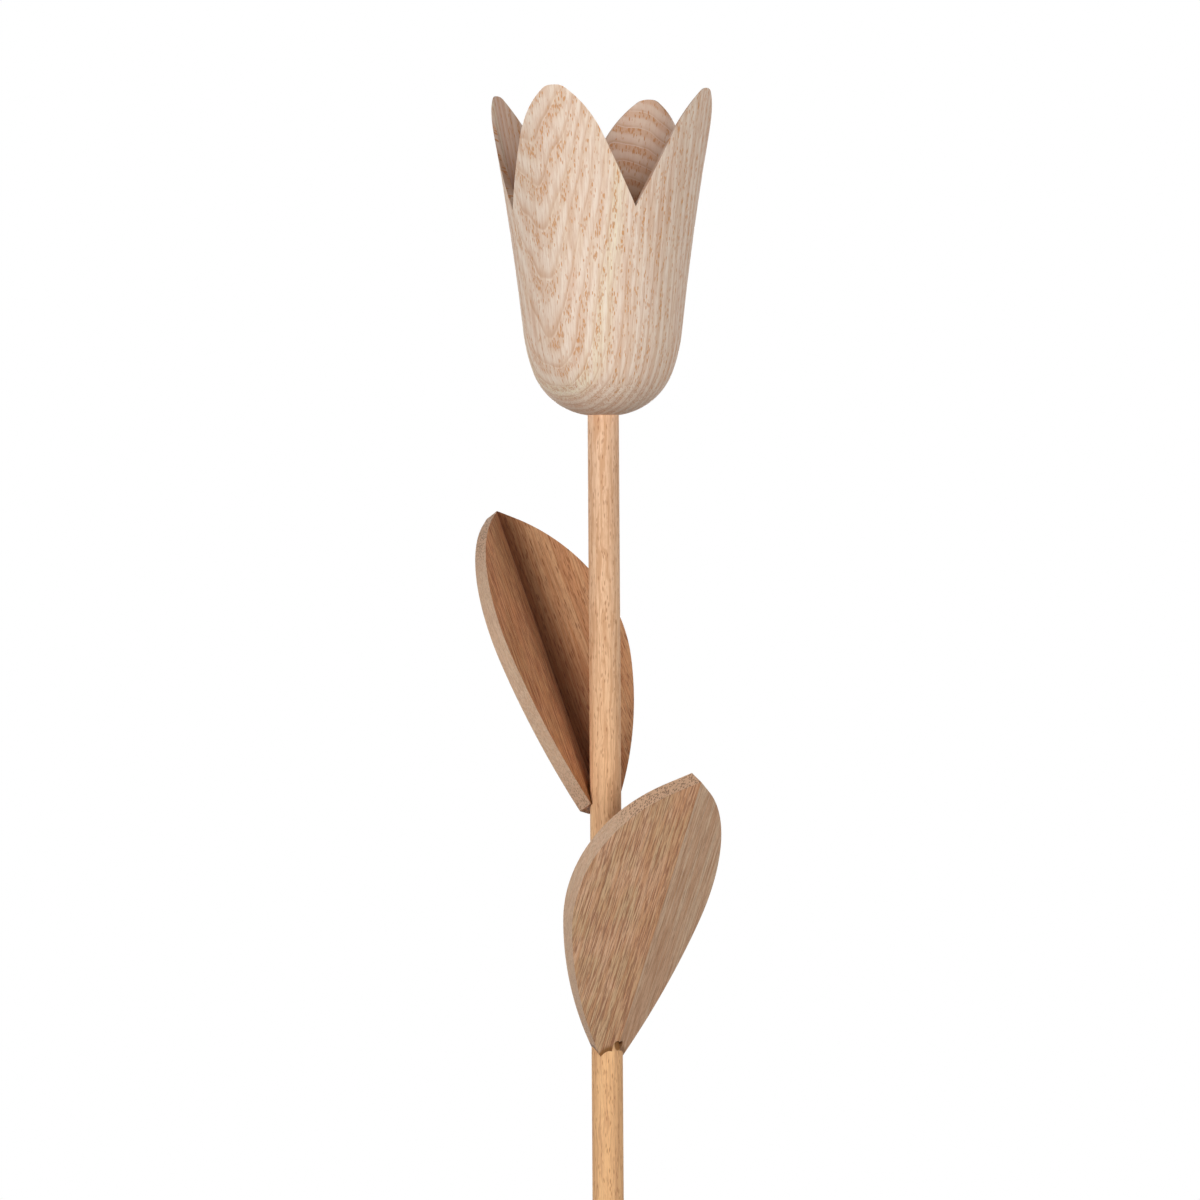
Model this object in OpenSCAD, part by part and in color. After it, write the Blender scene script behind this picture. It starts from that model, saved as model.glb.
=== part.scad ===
// A wooden tulip: a turned cup with four sawn petals, on a round stem that carries two folded leaves.
// The origin is the middle of the stem's foot, and the stem stands along +Z.
// Azimuths turn about the stem from the front, -Y, towards the right, +X.

/* [Whole flower] */
// Height from the stem's foot to the petal tips
flower_height = 400; // [370:1:430]

/* [Stem] */
// Diameter of the dowel
stem_d = 8; // [7:0.5:9]
// Chamfer on both ends of the dowel
stem_chamfer = 0.6; // [0.2:0.1:1]
// Depth of the dowel's socket in the cup
socket_depth = 13; // [10:0.5:14]
// Radial clearance for glue in the socket
socket_clearance = 0.05; // [0.02:0.01:0.1]

/* [Cup] */
// Height of the cup, from its foot to the petal tips
cup_height = 82.7; // [80:0.1:82.8]
// Radius of the flat under the cup, hidden by the stem
cup_foot_r = 1.8; // [1.7:0.1:3]
// Radius of the round underside
belly_r = 17.1; // [17:0.1:18]
// Slope at which the underside passes into the shoulder
belly_slope = 69.75; // [66:0.25:72]
// Radius of the shoulder
shoulder_r = 44.2; // [40:0.2:50]
// Slope at which the shoulder passes into the flare
shoulder_slope = 83.8; // [82:0.1:84]
// Radius of the hollow curve that flares the side out to the rim
flare_r = 745; // [600:5:800]

/* [Hollow] */
// Thickness of the cup's floor
floor_thickness = 17; // [16:0.5:19]
// Radius of the flat floor inside
hollow_flat_r = 3.7; // [3:0.1:4.5]
// Radius of the corner between floor and wall
hollow_corner_r = 14; // [12:0.5:15]
// Slope at which the corner passes into the wall
hollow_slope = 79.9; // [79.5:0.1:80.5]

/* [Petals] */
// Azimuth of the first cut between two petals
cut_azimuth = 20.7; // [-45:0.1:45]
// Height of the bottom of the cuts above the cup's foot
cut_bottom = 52.1; // [52:0.1:56]
// Angle between the stem's axis and the straight side of a cut
cut_angle = 27.2; // [26:0.1:27.5]
// Length of the straight side of a cut
cut_straight = 20.7; // [20.5:0.1:22]
// Radius that rounds a petal's edge towards its tip
petal_r = 37.8; // [37:0.1:40]
// Radius of the small round on either side of a petal's tip
petal_tip_r = 3.2; // [2:0.1:3.5]

/* [Leaf section] */
// Angle between the two halves of a leaf, seen along its ridge
fold_angle = 136; // [125:1:145]
// Thickness of a leaf's halves
leaf_thickness = 4.25; // [3.5:0.05:4.5]
// Radius of the small hollow left for glue under the ridge
glue_hollow_r = 1.3; // [1:0.1:1.6]
// How far the glue hollow reaches out from the stem's surface
glue_hollow_depth = 1.7; // [1:0.1:2]

/* [Lower leaf] */
// Height at which the ridge leaves the stem
lower_ridge_z = 154.4; // [140:0.1:170]
// Azimuth of the ridge
lower_azimuth = 34.4; // [-90:0.1:90]
// Angle between ridge and stem
lower_lean = 28.7; // [24:0.1:32]
// Length of the ridge from the stem to the tip
lower_length = 79.9; // [76:0.1:84]
// Angle between the ridge and the edge at the tip
lower_tip_angle = 51; // [48:0.1:54]
// Length of the straight edge at the tip
lower_tip_edge = 6.9; // [6:0.1:8]
// Radius of the upper part of the edge
lower_top_r = 41.4; // [40:0.1:43]
// Slope of the edge past its widest place, where the upper radius ends
lower_join_slope = 14.1; // [12:0.1:16]
// Radius of the lower part of the edge
lower_base_r = 104.3; // [98:0.1:110]
// Where the square end of the leaf is, along the ridge from the stem
lower_end = -2; // [-3:0.1:1]

/* [Upper leaf] */
// Height at which the ridge leaves the stem
upper_ridge_z = 210.9; // [200:0.1:225]
// Azimuth of the ridge
upper_azimuth = -137.3; // [-180:0.1:-90]
// Angle between ridge and stem
upper_lean = 27; // [24:0.1:32]
// Length of the ridge from the stem to the tip
upper_length = 90.4; // [87:0.1:94]
// Angle between the ridge and the edge at the tip
upper_tip_angle = 53.4; // [52:0.1:56]
// Length of the straight edge at the tip
upper_tip_edge = 4.4; // [3:0.1:6]
// Radius of the upper part of the edge
upper_top_r = 44.4; // [43:0.1:46]
// Slope of the edge past its widest place, where the upper radius ends
upper_join_slope = 11.1; // [9:0.1:13]
// Radius of the lower part of the edge
upper_base_r = 106.5; // [100:0.1:112]
// Where the square end of the leaf is, along the ridge from the stem
upper_end = 5; // [3:0.1:6]

/* [Hidden] */

// Faces per turn of the small curves and of the very large ones
$fn = 180;
long_curve_fn = 1440;
// What a cutter reaches past the solid that it cuts
over = 1;
// How far two touching curves are let into each other, so that no step is left where they meet
let_in = 0.003;

stem_r = stem_d / 2;
cup_z = flower_height - cup_height;
stem_length = cup_z + socket_depth;
// A half-width that takes in the whole cup, or a whole leaf
reach = 45;

// The direction out of a curve at a slope measured from level, in a profile of radius and height
function outward(slope) = [sin(slope), -cos(slope)];
// The direction out of a leaf's edge at a slope measured from the ridge
function edge_out(slope) = [cos(slope), sin(slope)];

// The cup's outer profile: underside, shoulder and flare, each tangent to the next
belly_centre = [cup_foot_r, belly_r];
belly_top = belly_centre + belly_r * outward(belly_slope);
shoulder_centre = belly_top - shoulder_r * outward(belly_slope);
shoulder_top = shoulder_centre + shoulder_r * outward(shoulder_slope);
flare_centre = shoulder_top + flare_r * outward(shoulder_slope);

// The hollow's profile: floor, corner and wall
corner_centre = [hollow_flat_r, floor_thickness + hollow_corner_r];
corner_top = corner_centre + hollow_corner_r * outward(hollow_slope);
wall_centre = corner_top + flare_r * outward(hollow_slope);

// The edge of a cut, from its bottom: a straight side, then the round of the petal
cut_side = [sin(cut_angle), cos(cut_angle)];
cut_join = [0, cut_bottom] + cut_straight * cut_side;
petal_centre = cut_join + petal_r * [cut_side[1], -cut_side[0]];

// The small round of a petal's tip, which ends on the rim
tip_gap = petal_r - petal_tip_r;
tip_z = cup_height + let_in - petal_tip_r;
tip_centre = [petal_centre[0] - sqrt(tip_gap ^ 2 - (tip_z - petal_centre[1]) ^ 2), tip_z];
tip_join = petal_centre + petal_r / tip_gap * (tip_centre - petal_centre);

// The part of a circle between two heights
module circle_band(centre, r, low, high) {
    intersection() {
        translate(centre) circle(r, $fn = long_curve_fn);
        translate([-reach, low]) square([2 * reach, high - low]);
    }
}

// The part of a profile between two heights that lies inside a circle
module inside_band(centre, r, low, high) {
    intersection() {
        translate(centre) circle(r);
        translate([0, low]) square([reach, high - low]);
    }
}

// The part of a profile between two heights that lies this side of a circle
module outside_band(centre, r, low, high) {
    difference() {
        translate([0, low]) square([reach, high - low]);
        translate(centre) circle(r, $fn = long_curve_fn);
    }
}

module cup_profile() {
    square([cup_foot_r, belly_top[1]]);
    inside_band(belly_centre, belly_r, 0, shoulder_top[1]);
    inside_band(shoulder_centre - [let_in, 0], shoulder_r, belly_top[1], shoulder_top[1] + over);
    outside_band(flare_centre - [2 * let_in, 0], flare_r, shoulder_top[1], cup_height);
}

module hollow_profile() {
    translate([0, floor_thickness]) square([hollow_flat_r, hollow_corner_r]);
    inside_band(corner_centre, hollow_corner_r, floor_thickness, corner_top[1] + over);
    outside_band(wall_centre - [let_in, 0], flare_r, corner_top[1], cup_height + over);
}

// The turned cup's section, hollow above and bored below for the dowel
module cup_section() {
    difference() {
        cup_profile();
        hollow_profile();
        translate([0, -over]) square([stem_r + socket_clearance, socket_depth + over]);
    }
}

// The rounds of the petal on the right of a cut: the long one of its side and the small one of its tip
module petal_rounds() {
    circle_band(petal_centre - [let_in, 0], petal_r, cut_bottom, tip_join[1]);
    translate(tip_centre - [2 * let_in, 0]) circle(petal_tip_r);
}

// What is sawn out between two petals, seen along the cut: a V that opens into rounds on both sides
module cut_profile() {
    side = cut_side * (cup_height + over - cut_bottom) / cut_side[1];
    translate([0, cut_bottom]) polygon([[0, 0], side, [-side[0], side[1]]]);
    difference() {
        translate([-tip_centre[0], cut_join[1]])
            square([2 * tip_centre[0], cup_height + over - cut_join[1]]);
        petal_rounds();
        mirror([1, 0]) petal_rounds();
    }
}

// One saw cut right across the cup, which parts the petals on both sides
module petal_cut(azimuth) {
    rotate([0, 0, azimuth])
        translate([0, reach, 0])
            rotate([90, 0, 0])
                linear_extrude(2 * reach) cut_profile();
}

// One side of a leaf's outline: all that lies left of the right-hand edge
module leaf_side(top_centre, top_r, base_centre, base_r, low, join, high) {
    circle_band(top_centre + [let_in, 0], top_r, low, high);
    circle_band(base_centre, base_r, low, join);
}

// A leaf's outline, with the ridge along +Y from the stem at 0 to the tip
module leaf_outline(length, tip_angle, tip_edge, top_r, join_slope, base_r, low) {
    tip_corner = [tip_edge * sin(tip_angle), length - tip_edge * cos(tip_angle)];
    top_centre = tip_corner - top_r * edge_out(tip_angle);
    join = top_centre + top_r * edge_out(-join_slope);
    base_centre = join - base_r * edge_out(-join_slope);

    polygon([[0, length], [-tip_corner[0], tip_corner[1]], tip_corner]);
    intersection() {
        leaf_side(top_centre, top_r, base_centre, base_r, low, join[1], length);
        mirror([1, 0])
            leaf_side(top_centre, top_r, base_centre, base_r, low, join[1], length);
    }
}

// The folded board that leaves are cut from, with its outer ridge along +Y and the fold opening to -Z
module folded_board(length) {
    drop = reach / tan(fold_angle / 2);
    depth = leaf_thickness / sin(fold_angle / 2);
    translate([0, length, 0])
        rotate([90, 0, 0])
            linear_extrude(2 * length)
                polygon([
                    [0, 0], [reach, -drop], [reach, -drop - depth],
                    [0, -depth], [-reach, -drop - depth], [-reach, -drop]
                ]);
}

// A leaf set on the stem: cut to its outline, leaned out and turned, and notched to sit astride the stem
module leaf(ridge_z, azimuth, lean, length, tip_angle, tip_edge, top_r, join_slope, base_r, end) {
    difference() {
        translate([0, 0, ridge_z])
            rotate([0, 0, azimuth])
                translate([0, -stem_r, 0])
                    rotate([90 + lean, 0, 0])
                        intersection() {
                            folded_board(length + over);
                            translate([0, 0, -reach])
                                linear_extrude(reach + over)
                                    leaf_outline(length, tip_angle, tip_edge, top_r, join_slope, base_r, end);
                        }
        cylinder(h = cup_z, r = stem_r);
        rotate([0, 0, azimuth])
            translate([0, glue_hollow_r - stem_r - glue_hollow_depth, ridge_z - reach])
                cylinder(h = 2 * reach, r = glue_hollow_r);
    }
}

module stem() {
    color("BurlyWood") {
        cylinder(h = stem_chamfer, r1 = stem_r - stem_chamfer, r2 = stem_r);
        translate([0, 0, stem_chamfer])
            cylinder(h = stem_length - 2 * stem_chamfer, r = stem_r);
        translate([0, 0, stem_length - stem_chamfer])
            cylinder(h = stem_chamfer, r1 = stem_r, r2 = stem_r - stem_chamfer);
    }
}

module flower_cup() {
    color("Bisque")
        translate([0, 0, cup_z])
            difference() {
                rotate_extrude() cup_section();
                petal_cut(cut_azimuth);
                petal_cut(cut_azimuth + 90);
            }
}

module lower_leaf() {
    color("RosyBrown")
        leaf(lower_ridge_z, lower_azimuth, lower_lean, lower_length, lower_tip_angle,
            lower_tip_edge, lower_top_r, lower_join_slope, lower_base_r, lower_end);
}

module upper_leaf() {
    color("Peru")
        leaf(upper_ridge_z, upper_azimuth, upper_lean, upper_length, upper_tip_angle,
            upper_tip_edge, upper_top_r, upper_join_slope, upper_base_r, upper_end);
}

stem();
flower_cup();
lower_leaf();
upper_leaf();
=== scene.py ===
"""A wooden tulip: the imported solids, dressed in ash, beech and oak, on a plain pale floor."""

import math

import bpy
from mathutils import Euler, Matrix, Vector

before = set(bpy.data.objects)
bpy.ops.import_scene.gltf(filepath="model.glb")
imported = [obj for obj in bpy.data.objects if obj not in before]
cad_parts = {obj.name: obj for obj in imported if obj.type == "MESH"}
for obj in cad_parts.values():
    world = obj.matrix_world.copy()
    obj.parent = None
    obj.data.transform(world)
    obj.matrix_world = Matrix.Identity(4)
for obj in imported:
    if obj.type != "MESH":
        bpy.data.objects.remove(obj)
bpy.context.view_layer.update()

MM = 0.001

# Camera
PHOTO_SIZE = 1200
FOCAL_PX = 6709.7
CAMERA_PLACE = Vector((-1.12, -1715.0, 270.2)) * MM
CAMERA_ROLL = math.radians(-0.36)
SENSOR_MM = 36.0
CLIP_START = 0.05
CLIP_END = 30.0

camera_data = bpy.data.cameras.new("camera")
camera_data.sensor_width = SENSOR_MM
camera_data.lens = SENSOR_MM * FOCAL_PX / PHOTO_SIZE
camera_data.clip_start = CLIP_START
camera_data.clip_end = CLIP_END
camera = bpy.data.objects.new("camera", camera_data)
camera.matrix_world = (
    Matrix.Translation(CAMERA_PLACE)
    @ Matrix.Rotation(math.radians(90), 4, "X")
    @ Matrix.Rotation(CAMERA_ROLL, 4, "Z")
)
bpy.context.scene.collection.objects.link(camera)
bpy.context.scene.camera = camera


# Node shorthand
class Graph:
    """Adds nodes to one node tree and links them, with values or sockets as inputs."""

    def __init__(self, tree):
        self.tree = tree
        tree.nodes.clear()

    def node(self, kind, inputs=(), **settings):
        n = self.tree.nodes.new(kind)
        for key, value in settings.items():
            setattr(n, key, value)
        for key, value in dict(inputs).items():
            self.put(n.inputs[key], value)
        return n

    def put(self, socket, value):
        if isinstance(value, bpy.types.NodeSocket):
            self.tree.links.new(value, socket)
        elif value is not None:
            if socket.type == "RGBA" and len(value) == 3:
                value = (*value, 1.0)
            socket.default_value = value

    def math(self, operation, a, b=None):
        return self.node("ShaderNodeMath", {0: a, 1: b}, operation=operation).outputs[0]

    def add(self, a, b):
        return self.math("ADD", a, b)

    def sub(self, a, b):
        return self.math("SUBTRACT", a, b)

    def mul(self, a, *others):
        for b in others:
            a = self.math("MULTIPLY", a, b)
        return a

    def abs(self, a):
        return self.math("ABSOLUTE", a)

    def vector(self, operation, a, b=None):
        n = self.node("ShaderNodeVectorMath", {0: a, 1: b}, operation=operation)
        return n.outputs["Value" if operation in ("DOT_PRODUCT", "LENGTH") else "Vector"]

    def split(self, vector):
        return self.node("ShaderNodeSeparateXYZ", {0: vector}).outputs

    def join(self, x, y, z):
        return self.node("ShaderNodeCombineXYZ", {0: x, 1: y, 2: z}).outputs[0]

    def smooth(self, value, low, high, to_low=0.0, to_high=1.0):
        """A value eased from to_low, at low, to to_high, at high. Low may be the greater one."""
        n = self.node(
            "ShaderNodeMapRange",
            {0: value, 1: low, 2: high, 3: to_low, 4: to_high},
            interpolation_type="SMOOTHSTEP",
        )
        return n.outputs[0]

    def mask(self, value, start, full, strength):
        """A mask that is 0 where a value is at start, and strength where it is at full."""
        return self.smooth(value, start, full, 0.0, strength)

    def between(self, mask, off, on):
        """Off where a mask is 0, and on where it is 1."""
        return self.smooth(mask, 0.0, 1.0, off, on)

    def band(self, value, rise, fall):
        """1 between two slopes. Each is given by the values where it is 0 and where it is 1."""
        return self.mul(self.smooth(value, *rise), self.smooth(value, *fall))

    def stretched(self, vector, size):
        """Coordinates for a pattern with features of a size: a width in X and Y, a length in Z."""
        across, along = size
        return self.vector("MULTIPLY", vector, (1 / across, 1 / across, 1 / along))

    def noise(self, vector, size, detail=2.0, roughness=0.5):
        """Noise from 0 to 1, mostly near 0.5."""
        inputs = {"Vector": self.stretched(vector, size), "Scale": 1.0}
        inputs.update({"Detail": detail, "Roughness": roughness})
        return self.node("ShaderNodeTexNoise", inputs).outputs[0]

    def dashes(self, vector, size, outline, chance):
        """Scattered dashes.

        Outline gives the distances from a dash's middle where it starts and where it is full.
        Each dash draws a number from 0 to 1, and chance gives the numbers where dashes start to
        show and where they are full.
        """
        inputs = {"Vector": self.stretched(vector, size), "Scale": 1.0}
        cells = self.node("ShaderNodeTexVoronoi", inputs).outputs
        draw = self.split(cells["Color"])[0]
        return self.mul(self.smooth(cells["Distance"], *outline), self.smooth(draw, *chance))

    def mix(self, factor, a, b, blend="MIX"):
        n = self.node("ShaderNodeMix", data_type="RGBA", blend_type=blend)
        self.put(n.inputs[0], factor)
        self.put(n.inputs[6], a)
        self.put(n.inputs[7], b)
        return n.outputs[2]

    def layers(self, colour, *layers):
        """A colour with others laid over it in turn, each through its mask."""
        for mask, tint in layers:
            colour = self.mix(mask, colour, tint)
        return colour

    def in_frame(self, vector, place, turn):
        """A vector seen from a frame that stands at a place, turned by Euler angles."""
        inputs = {"Vector": vector, "Location": place, "Rotation": turn}
        return self.node("ShaderNodeMapping", inputs, vector_type="TEXTURE").outputs[0]

    def level(self, vector):
        """A vector without its height."""
        return self.vector("MULTIPLY", vector, (1, 1, 0))

    def facing(self):
        """The direction that the surface faces, before any bump."""
        return self.node("ShaderNodeNewGeometry").outputs["True Normal"]

    def seen(self):
        """1 for rays that show a surface, also in a mirror or through glass, and 0 for others."""
        paths = self.node("ShaderNodeLightPath").outputs
        indirectly = self.math("MAXIMUM", paths["Is Glossy Ray"], paths["Is Transmission Ray"])
        return self.math("MAXIMUM", paths["Is Camera Ray"], indirectly)


# Wood in general
# Lengths are in millimetres, in the object's frame. A SIZE is the width and the length of a
# pattern's features, and a SPAN is where something starts and where it is full
WOOD_FINISH = {"Specular IOR Level": 0.2, "Sheen Weight": 0.04, "Sheen Roughness": 0.6}
NOISE_RANGE = (0.2, 0.8)  # where nearly all of a noise's values lie
STEM_R = 4.0


def wood_material(name, build):
    """A material whose colour, roughness and height come from build."""
    material = bpy.data.materials.new(name)
    material.use_nodes = True
    g = Graph(material.node_tree)
    place = g.vector("MULTIPLY", g.node("ShaderNodeTexCoord").outputs["Object"], (1 / MM,) * 3)
    colour, roughness, height = build(g, place)
    bump = g.node("ShaderNodeBump", {"Height": height, "Distance": MM, "Strength": 1.0}).outputs[0]
    inputs = {"Base Color": colour, "Roughness": roughness, "Normal": bump, **WOOD_FINISH}
    shader = g.node("ShaderNodeBsdfPrincipled", inputs).outputs[0]
    g.node("ShaderNodeOutputMaterial", {"Surface": shader})
    return material


# Glue: a rim where a leaf meets the stem, and a drop in the lower leaf's hollow
GLUE = (0.250, 0.100, 0.020)
GLUE_SMOOTHER = -0.2  # what it adds to the wood's roughness
RIM_SPAN = (STEM_R + 0.9, STEM_R + 0.35)
RIM_STRENGTH = 0.85
DROP_PLACE = (2.95, -3.3, 157.0)
DROP_SIZE = (1.2, 1.2, 2.0)
DROP_OUTLINE = (1.1, 0.85)
DROP_STRENGTH = 0.9


def glue_drop(g, place):
    away = g.vector("DIVIDE", g.vector("SUBTRACT", place, DROP_PLACE), DROP_SIZE)
    return g.smooth(g.vector("LENGTH", away), *DROP_OUTLINE)


# Ash: the turned cup
# Its growth rings are flat sheets, counted outwards along one azimuth
ASH_FLAT_AZIMUTH = math.radians(-44)  # where the cup's side lies flat along the rings
ASH_FIRST_RING = 10.7  # distance of one ring's boundary from the stem's axis
ASH_RING = 2.45
ASH_CLOSING = 1.5  # rings gained where they draw together, between these two distances
ASH_CLOSING_SPAN = (18.0, 29.0)
ASH_STRAY = 1.6  # how far a ring strays from a flat sheet
ASH_STRAY_SIZE = (8, 30)
# At the back the rings lean: they shift with X and with height, from a point on the back petal
ASH_BACK_SPAN = (-14.0, -22.0)
ASH_BACK_LEAN = (0.62, 0.0, 0.73)
ASH_BACK_POINT = (12.0, 0.0, 385.0)
ASH_BACK_LOWEST = (-100.0, -100.0, 362.0)  # the lean stays the same below this height
# Within a ring, from 0 to 1: a dark line, dense pale wood, and wood with rows of pores
ASH_LINE_START = (0.0, 0.06)
ASH_LINE_ENDS = ((0.2, 0.05), (0.45, 0.05))  # half of the line fades over each
ASH_DENSE = ((0.12, 0.25), (0.75, 0.4))
ASH_POROUS = ((0.5, 0.72), (1.0, 0.96))
ASH_PALE_BAND = 14.5  # depth of a cream band's middle, and distances from it
ASH_PALE_SPAN = (2.6, 0.6)
ASH_TONE_SIZE = (6, 22)
ASH_FIBRE_SIZE = (0.26, 4)
ASH_STREAK_SIZE = (0.8, 32)
ASH_CROWD_SIZE = (1.6, 12)
ASH_PORE_SIZE = (0.21, 1.25)
ASH_PORE_OUTLINE = (0.6, 0.35)
ASH_FEW_PORES = (0.84, 1.0)  # their chance away from the rows, and in them
ASH_MANY_PORES = (0.22, 0.62)
ASH_DRAWN_R = 16.0  # radius of the cylinder that the fibres and pores are drawn on
ASH_INWARDS_SPAN = (0.0, -4.0)  # of place times facing, which is negative inside the cup
# Inside the cup the wood's colour is multiplied by less the deeper it lies: painted shade,
# standing in for the shade in the cup's hollow
ASH_PAINTED_SHADE_SPAN = (366.0, 391.0)
ASH_PAINTED_SHADE_LOW = (0.520, 0.320, 0.205)
ASH_PAINTED_SHADE_HIGH = (0.840, 0.790, 0.790)
ASH_WOOD = (0.900, 0.705, 0.545)
ASH_LINE = (0.670, 0.395, 0.240)
ASH_PORE = (0.690, 0.275, 0.062)
ASH_CREAM = (0.970, 0.840, 0.640)
ASH_PINK = (0.870, 0.645, 0.500)
ASH_PALE = (0.960, 0.800, 0.665)
ASH_ROUGHNESS = (0.52, 0.62)
ASH_PORE_ROUGHER = 0.15
ASH_FIBRE_HEIGHT = 0.03
ASH_PORE_DEPTH = 0.06


def ash(g, place):
    grain = g.in_frame(place, (0, 0, 0), (0, 0, ASH_FLAT_AZIMUTH - math.pi / 2))
    out = g.split(grain)[0]
    stray = g.mul(g.sub(g.noise(grain, ASH_STRAY_SIZE, detail=1), 0.5), ASH_STRAY)
    held = g.vector("MAXIMUM", place, ASH_BACK_LOWEST)
    lean = g.vector("DOT_PRODUCT", g.vector("SUBTRACT", held, ASH_BACK_POINT), ASH_BACK_LEAN)
    depth = g.add(g.add(out, stray), g.mul(lean, g.smooth(out, *ASH_BACK_SPAN)))
    rings = g.add(
        g.math("DIVIDE", g.sub(depth, ASH_FIRST_RING), ASH_RING),
        g.mask(depth, *ASH_CLOSING_SPAN, ASH_CLOSING),
    )
    phase = g.math("FRACT", rings)
    ends = [g.mask(phase, *end, 0.5) for end in ASH_LINE_ENDS]
    line = g.mul(g.smooth(phase, *ASH_LINE_START), g.add(*ends))
    dense = g.band(phase, *ASH_DENSE)
    porous = g.band(phase, *ASH_POROUS)
    pale = g.smooth(g.abs(g.sub(depth, ASH_PALE_BAND)), *ASH_PALE_SPAN)
    tone = g.noise(grain, ASH_TONE_SIZE)

    # Fibres and pores stay long on the cup's slope: their pattern is drawn on a cylinder
    radius = g.vector("LENGTH", g.level(place))
    shrink = g.math("MINIMUM", g.math("DIVIDE", ASH_DRAWN_R, radius), 1.0)
    drawn = g.vector("MULTIPLY", place, g.join(shrink, shrink, 1.0))
    fibre = g.noise(drawn, ASH_FIBRE_SIZE, roughness=0.6)
    streak = g.noise(drawn, ASH_STREAK_SIZE, detail=3, roughness=0.6)
    crowd = g.mul(porous, g.smooth(g.noise(drawn, ASH_CROWD_SIZE), 0.3, 0.6))
    chance = [g.between(crowd, few, many) for few, many in zip(ASH_FEW_PORES, ASH_MANY_PORES)]
    pores = g.dashes(drawn, ASH_PORE_SIZE, ASH_PORE_OUTLINE, chance)

    inside = g.smooth(g.vector("DOT_PRODUCT", place, g.level(g.facing())), *ASH_INWARDS_SPAN)
    plain = g.between(inside, 1.0, 0.25)
    colour = g.layers(
        g.mix(g.smooth(tone, 0.35, 0.65), ASH_WOOD, ASH_PINK),
        (g.mul(dense, plain, 0.7), ASH_PALE),
        (g.mul(pale, 0.85), ASH_CREAM),
        (g.mul(plain, g.mask(streak, 0.48, 0.62, 0.8)), ASH_PALE),
        (g.mul(plain, g.mask(streak, 0.46, 0.36, 0.35)), ASH_LINE),
        (g.mul(crowd, 0.2), ASH_LINE),
        (g.mul(line, g.smooth(tone, 0.4, 0.6, 0.35, 0.7)), ASH_LINE),
        (g.mul(plain, g.mask(fibre, 0.42, 0.64, 0.36)), ASH_LINE),
        (g.mul(porous, inside, 0.25), ASH_PORE),
        (g.mul(pores, 0.75), ASH_PORE),
    )
    # Painted shade: inside the cup the colour darkens with depth
    shade = g.mix(g.smooth(g.split(place)[2], *ASH_PAINTED_SHADE_SPAN), ASH_PAINTED_SHADE_LOW, ASH_PAINTED_SHADE_HIGH)
    colour = g.mix(inside, colour, shade, "MULTIPLY")

    roughness = g.smooth(fibre, *NOISE_RANGE, *ASH_ROUGHNESS)
    roughness = g.add(roughness, g.mul(pores, ASH_PORE_ROUGHER))
    height = g.sub(g.mul(fibre, ASH_FIBRE_HEIGHT), g.mul(pores, ASH_PORE_DEPTH))
    return colour, roughness, height


# Beech: the stem
BEECH_SWAY_SIZE = (6, 14)
BEECH_SWAY = (3.0, -2.0)  # how far the grain sways in X and in Y
BEECH_STREAK_SIZE = (0.55, 16)
BEECH_BROAD_SIZE = (2.6, 40)
BEECH_FINE_SIZE = (0.24, 2.2)
BEECH_FLECK_SIZE = (0.42, 2.2)
BEECH_FLECK_OUTLINE = (0.42, 0.16)
BEECH_FLECK_CHANCE = (0.3, 0.7)
BEECH_CHANGE = (150.0, 330.0)  # heights between which the stem's tone changes
BEECH_HIGH = (0.950, 0.630, 0.415)
BEECH_LOW = (0.960, 0.570, 0.275)
BEECH_STREAK = (0.650, 0.335, 0.165)
BEECH_FLECK = (0.400, 0.140, 0.050)
BEECH_ROUGHNESS = (0.55, 0.65)
BEECH_FLECK_ROUGHER = 0.12
BEECH_FINE_HEIGHT = 0.02
BEECH_FLECK_DEPTH = 0.04


def beech(g, place):
    sway = g.sub(g.noise(place, BEECH_SWAY_SIZE), 0.5)
    sway_x, sway_y = [g.mul(sway, reach) for reach in BEECH_SWAY]
    grain = g.vector("ADD", place, g.join(sway_x, sway_y, 0.0))
    fine = g.noise(grain, BEECH_FINE_SIZE)
    streak = g.noise(grain, BEECH_STREAK_SIZE, detail=3, roughness=0.6)
    flecks = g.dashes(grain, BEECH_FLECK_SIZE, BEECH_FLECK_OUTLINE, BEECH_FLECK_CHANCE)
    colour = g.layers(
        g.mix(g.smooth(g.split(place)[2], *BEECH_CHANGE), BEECH_LOW, BEECH_HIGH),
        (g.mask(streak, 0.45, 0.6, 0.65), BEECH_STREAK),
        (g.mask(g.noise(grain, BEECH_BROAD_SIZE), 0.45, 0.7, 0.3), BEECH_STREAK),
        (g.mask(fine, 0.42, 0.7, 0.35), BEECH_STREAK),
        (g.mul(flecks, 0.6), BEECH_FLECK),
        (g.mul(glue_drop(g, place), DROP_STRENGTH), GLUE),
    )
    roughness = g.smooth(fine, *NOISE_RANGE, *BEECH_ROUGHNESS)
    roughness = g.add(roughness, g.mul(flecks, BEECH_FLECK_ROUGHER))
    height = g.sub(g.mul(fine, BEECH_FINE_HEIGHT), g.mul(flecks, BEECH_FLECK_DEPTH))
    return colour, roughness, height


# Oak: the leaves
# Each is mitred from a coarse and a smoother board, which meet at the ridge
OAK_SLANT = 0.6  # how far the figure shifts across, for each millimetre into the board
OAK_OTHER_BOARD = 31.0  # how far it shifts from one board to the other
OAK_MEETING = (-0.05, 0.05)
OAK_VESSEL_SIZE = (0.30, 8)
OAK_DASH_SIZE = (0.42, 3.0)
OAK_DASH_OUTLINE = (0.5, 0.25)
OAK_DASH_CHANCE = (0.5, 0.8)
OAK_STREAK_SIZE = (0.55, 16)
OAK_BOARD_SIZE = (3.0, 60)
OAK_PATCH_SIZE = (5, 9)
OAK_FINE_SIZE = (0.2, 1.4)
OAK_SPECK_SIZE = (0.52, 0.7)
OAK_SPECK_OUTLINE = (0.6, 0.3)
OAK_SPECK_CHANCE = (0.15, 0.5)
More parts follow.
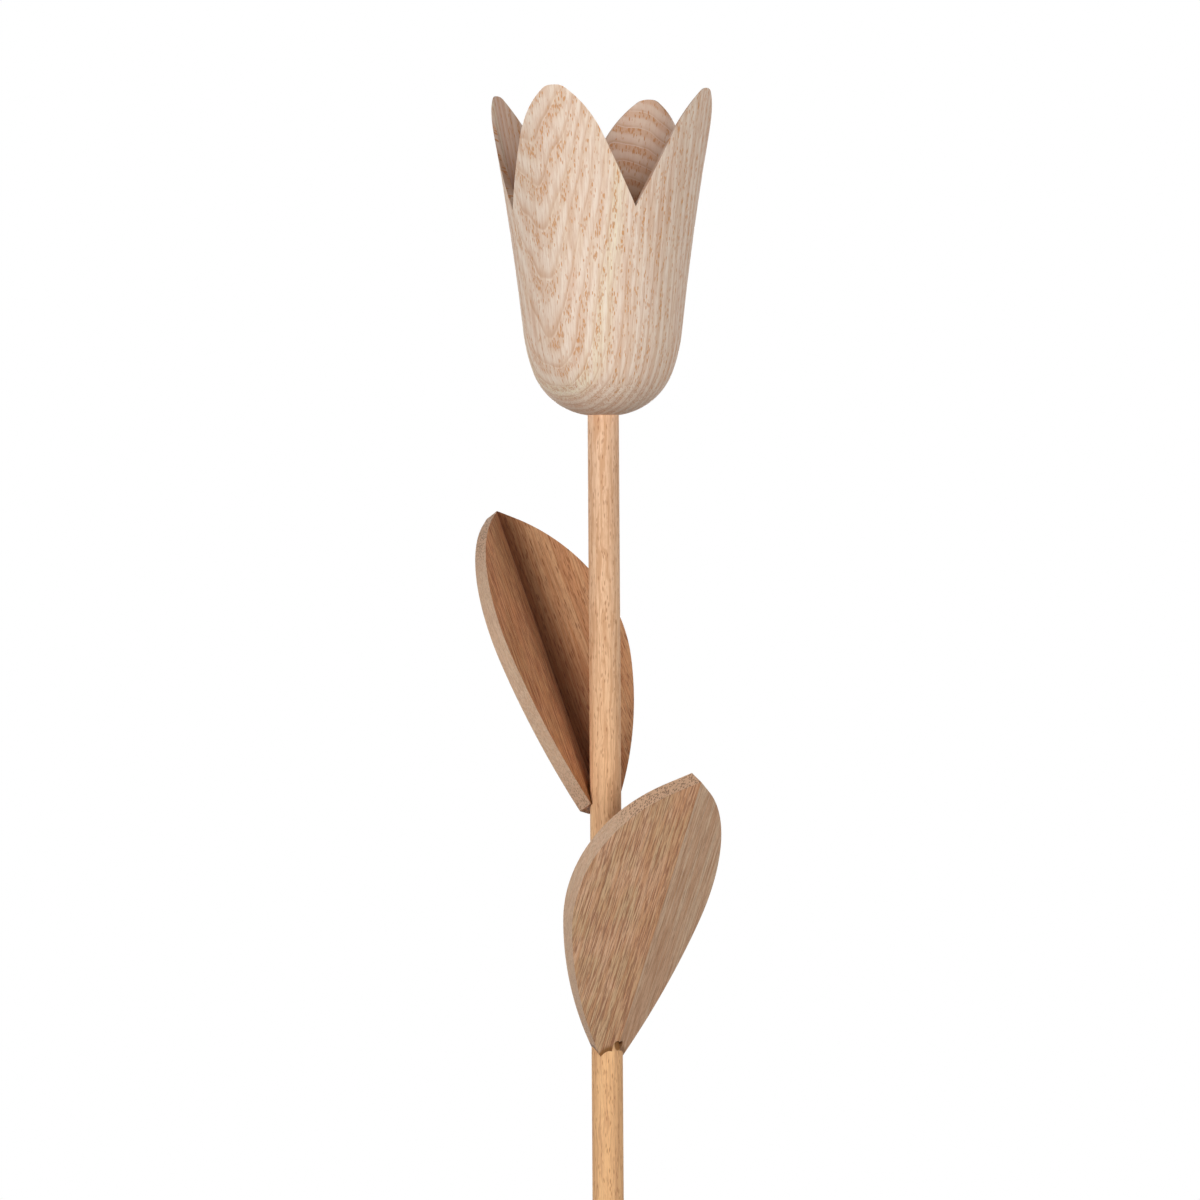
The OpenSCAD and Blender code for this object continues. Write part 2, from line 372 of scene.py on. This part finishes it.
# Distances from the ridge at which a darker strip, painted shade beside the ridge, and the joint's
# own line start and are full
OAK_BESIDE_SHADE_SPAN = (6.0, 1.0)
OAK_JOINT_SPAN = (0.3, 0.05)
# The surface's direction in the leaf's frame: level on a cut edge, along the leaf where that
# edge is end grain, and inwards inside the fold
OAK_EDGE_SPAN = (0.45, 0.3)
OAK_END_SPAN = (0.35, 0.7)
OAK_INNER_SPAN = (0.0, -0.3)
# Inside the fold, a painted shadow: a dark strip lies on the smoother board and ends just past the
# joint. It widens down the leaf, and the rest of that board darkens too, as painted shade
OAK_FOLD_REACH = (-7.5, -12.0)
OAK_FOLD_WIDENS = (65, 30)
OAK_FOLD_REST = 0.4
OAK_FOLD_DARKENS = (65, 15)
OAK_FOLD_END = (0.8, -0.2)
OAK_OLIVE = (0.675, 0.450, 0.262)
OAK_TAN = (0.750, 0.465, 0.288)
OAK_ORANGE = (0.560, 0.255, 0.115)
OAK_GREY = (0.850, 0.610, 0.410)
OAK_VESSEL = (0.320, 0.135, 0.070)
OAK_EDGE = (0.800, 0.590, 0.430)
OAK_SPECK = (0.270, 0.150, 0.095)
OAK_INNER_PAINTED_SHADE = (0.870, 0.680, 0.525)  # painted shade: what the inside of the fold multiplies a colour by
OAK_FOLD_PAINTED_SHADOW = (0.380, 0.265, 0.190)  # painted shadow: the same, in the fold's dark strip
OAK_ROUGHNESS = (0.55, 0.72)
OAK_FINE_HEIGHT = 0.03
OAK_VESSEL_DEPTH = 0.07


def oak(azimuth, lean, ridge_z, coarse_side, shift):
    """Oak whose grain runs up one leaf's ridge. Azimuth and lean are the leaf's, in degrees.

    The coarse board is on the side of coarse_side, -1 or 1, in the leaf's own X. The shift moves
    the figure across, so that no two leaves are alike.
    """
    around = math.radians(azimuth)
    turn = tuple(Euler((math.radians(90 + lean), 0.0, around)))
    foot = Vector((STEM_R * math.sin(around), -STEM_R * math.cos(around), ridge_z))

    def build(g, place):
        across, along, deep = g.split(g.in_frame(place, foot, turn))
        normal = g.split(g.in_frame(g.facing(), (0, 0, 0), turn))
        edge = g.smooth(g.abs(normal[2]), *OAK_EDGE_SPAN)
        end_grain = g.smooth(g.abs(normal[1]), *OAK_END_SPAN)
        inner = g.smooth(normal[2], *OAK_INNER_SPAN)
        side = g.mul(across, coarse_side)
        coarse = g.smooth(side, *OAK_MEETING)
        shifted = g.add(across, g.between(coarse, shift, shift + OAK_OTHER_BOARD))
        grain = g.join(g.add(shifted, g.mul(deep, OAK_SLANT)), deep, along)

        vessel = g.noise(grain, OAK_VESSEL_SIZE, detail=3, roughness=0.6)
        streak = g.noise(grain, OAK_STREAK_SIZE, detail=3, roughness=0.6)
        patch = g.noise(grain, OAK_PATCH_SIZE)
        fine = g.noise(grain, OAK_FINE_SIZE)
        dashes = g.dashes(grain, OAK_DASH_SIZE, OAK_DASH_OUTLINE, OAK_DASH_CHANCE)
        specks = g.dashes(grain, OAK_SPECK_SIZE, OAK_SPECK_OUTLINE, OAK_SPECK_CHANCE)

        coarse_face = g.layers(
            g.mix(g.smooth(patch, 0.38, 0.62), OAK_OLIVE, OAK_TAN),
            (g.mask(streak, 0.44, 0.58, 0.6), OAK_ORANGE),
            # Painted shade: a darker strip beside the ridge
            (g.mul(g.smooth(g.abs(across), *OAK_BESIDE_SHADE_SPAN), 0.3), OAK_ORANGE),
            (g.mask(vessel, 0.48, 0.6, 0.7), OAK_VESSEL),
            (g.mul(dashes, 0.6), OAK_VESSEL),
        )
        smooth_face = g.layers(
            g.mix(g.smooth(g.noise(grain, OAK_BOARD_SIZE), 0.4, 0.65), OAK_GREY, OAK_TAN),
            (g.mask(streak, 0.46, 0.6, 0.5), OAK_ORANGE),
            (g.mask(vessel, 0.5, 0.66, 0.4), OAK_VESSEL),
            (g.mul(dashes, g.between(inner, 0.25, 0.8)), OAK_VESSEL),
        )
        cut_edge = g.layers(
            g.mix(g.between(end_grain, 0.15, 0.85), OAK_EDGE, OAK_TAN),
            (g.mask(streak, 0.44, 0.6, 0.3), OAK_TAN),
            (g.mul(specks, g.between(end_grain, 0.15, 0.9)), OAK_SPECK),
        )
        colour = g.layers(
            g.mix(coarse, smooth_face, coarse_face),
            (g.mul(g.smooth(g.abs(across), *OAK_JOINT_SPAN), 0.5), OAK_ORANGE),
            (g.mul(edge, g.between(end_grain, 0.7, 1.0)), cut_edge),
            (g.mask(fine, 0.42, 0.75, 0.3), OAK_VESSEL),
        )

        # Painted shade: the whole inside of the fold is darkened
        colour = g.mix(inner, colour, OAK_INNER_PAINTED_SHADE, "MULTIPLY")
        # Painted shadow and shade in the fold: a dark strip beside the joint, and the rest of the
        # smoother board darkened
        reach = g.smooth(along, *OAK_FOLD_WIDENS, *OAK_FOLD_REACH)
        rest = g.mask(along, *OAK_FOLD_DARKENS, OAK_FOLD_REST)
        painted_fold_shadow = g.mul(g.smooth(side, reach, 0.0, rest, 1.0), g.smooth(side, *OAK_FOLD_END))
        colour = g.mix(g.mul(inner, painted_fold_shadow), colour, OAK_FOLD_PAINTED_SHADOW, "MULTIPLY")

        smear = g.add(g.vector("LENGTH", g.level(place)), g.sub(patch, 0.5))
        glue = g.math("MAXIMUM", g.smooth(smear, *RIM_SPAN), glue_drop(g, place))
        colour = g.mix(g.mul(glue, RIM_STRENGTH), colour, GLUE)

        roughness = g.add(g.smooth(vessel, 0.4, 0.7, *OAK_ROUGHNESS), g.mul(glue, GLUE_SMOOTHER))
        height = g.sub(g.mul(fine, OAK_FINE_HEIGHT), g.mask(vessel, 0.46, 0.7, OAK_VESSEL_DEPTH))
        return colour, roughness, height

    return build


LOWER_LEAF = {"azimuth": 34.4, "lean": 28.7, "ridge_z": 154.4, "coarse_side": -1, "shift": 0.0}
UPPER_LEAF = {"azimuth": -137.3, "lean": 27.0, "ridge_z": 210.9, "coarse_side": 1, "shift": 97.0}
LOOKS = {
    "flower_cup": ("ash", ash),
    "stem": ("beech", beech),
    "lower_leaf": ("oak_lower", oak(**LOWER_LEAF)),
    "upper_leaf": ("oak_upper", oak(**UPPER_LEAF)),
}
for node, (name, build) in LOOKS.items():
    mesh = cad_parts[node].data
    mesh.materials.clear()
    mesh.materials.append(wood_material(name, build))


# Floor, light and background
# Lengths are in metres here, and power in watts
WHITE = (1, 1, 1)
FLOOR_R = 1.1
FLOOR_Z = -0.0002
FLOOR_POINTS = 96
FLOOR_SHADE = (0.85, 0.85, 0.85)
FLOOR_BOUNCE = (0.30, 0.30, 0.30)  # what it throws back at the flower
FLOOR_WHITE = 0.5  # share of plain white in the middle of the floor, which is lit from low down
FLOOR_WHITE_SPAN = (0.35 * FLOOR_R, 0.95 * FLOOR_R)  # radii between which that share grows to all
AMBIENT = 0.68  # from the sides, level with the flower
AMBIENT_ABOVE = 0.03  # from straight above, with none from below
AMBIENT_UPWARDS = (0.02, 0.36)  # a direction's height where the first passes into the second
AMBIENT_DOWNWARDS = (-0.22, 0.0)  # a direction's height where it starts and is full
AIM = Vector((0.0, 0.0, 0.27))
LAMP_DISTANCE = 1.5
LAMP_ELEVATION = math.radians(5)
# Each lamp's azimuth, counted from the front towards +X, its size and its power
LAMPS = {"left": (-43, 0.6, 12.4), "right": (42, 0.6, 10.0), "behind": (180, 0.4, 6.5)}


def pale_floor():
    turns = [math.tau * i / FLOOR_POINTS for i in range(FLOOR_POINTS)]
    ring = [(FLOOR_R * math.cos(turn), FLOOR_R * math.sin(turn), FLOOR_Z) for turn in turns]
    mesh = bpy.data.meshes.new("floor")
    mesh.from_pydata(ring, [], [tuple(range(FLOOR_POINTS))])
    floor = bpy.data.objects.new("floor", mesh)
    bpy.context.scene.collection.objects.link(floor)
    material = bpy.data.materials.new("floor")
    material.use_nodes = True
    g = Graph(material.node_tree)
    radius = g.vector("LENGTH", g.node("ShaderNodeTexCoord").outputs["Object"])
    share = g.smooth(radius, *FLOOR_WHITE_SPAN, FLOOR_WHITE, 1.0)
    seen = g.seen()
    shade = g.mix(seen, FLOOR_BOUNCE, FLOOR_SHADE)
    pale = g.node("ShaderNodeBsdfDiffuse", {"Color": shade}).outputs[0]
    white = g.node("ShaderNodeEmission", {"Color": WHITE, "Strength": 1.0}).outputs[0]
    blend = g.node("ShaderNodeMixShader", {0: g.mul(share, seen), 1: pale, 2: white}).outputs[0]
    g.node("ShaderNodeOutputMaterial", {"Surface": blend})
    mesh.materials.append(material)


def world_light():
    world = bpy.data.worlds.new("studio")
    world.use_nodes = True
    g = Graph(world.node_tree)
    height = g.split(g.node("ShaderNodeTexCoord").outputs["Generated"])[2]
    ambient = g.smooth(height, *AMBIENT_UPWARDS, AMBIENT, AMBIENT_ABOVE)
    ambient = g.mul(ambient, g.smooth(height, *AMBIENT_DOWNWARDS))
    strength = g.between(g.seen(), ambient, 1.0)
    light = g.node("ShaderNodeBackground", {"Color": WHITE, "Strength": strength}).outputs[0]
    g.node("ShaderNodeOutputWorld", {"Surface": light})
    bpy.context.scene.world = world


def soft_box(name, azimuth, size, watts):
    """A square lamp that faces the middle of the flower."""
    data = bpy.data.lights.new(name, "AREA")
    data.shape = "SQUARE"
    data.size = size
    data.energy = watts
    lamp = bpy.data.objects.new(name, data)
    around = math.radians(azimuth)
    level = math.cos(LAMP_ELEVATION)
    away = Vector((math.sin(around) * level, -math.cos(around) * level, math.sin(LAMP_ELEVATION)))
    lamp.location = AIM + LAMP_DISTANCE * away
    lamp.rotation_euler = away.to_track_quat("Z", "Y").to_euler()
    bpy.context.scene.collection.objects.link(lamp)


pale_floor()
world_light()
for name, values in LAMPS.items():
    soft_box(name, *values)

bpy.context.scene.view_settings.view_transform = "Standard"
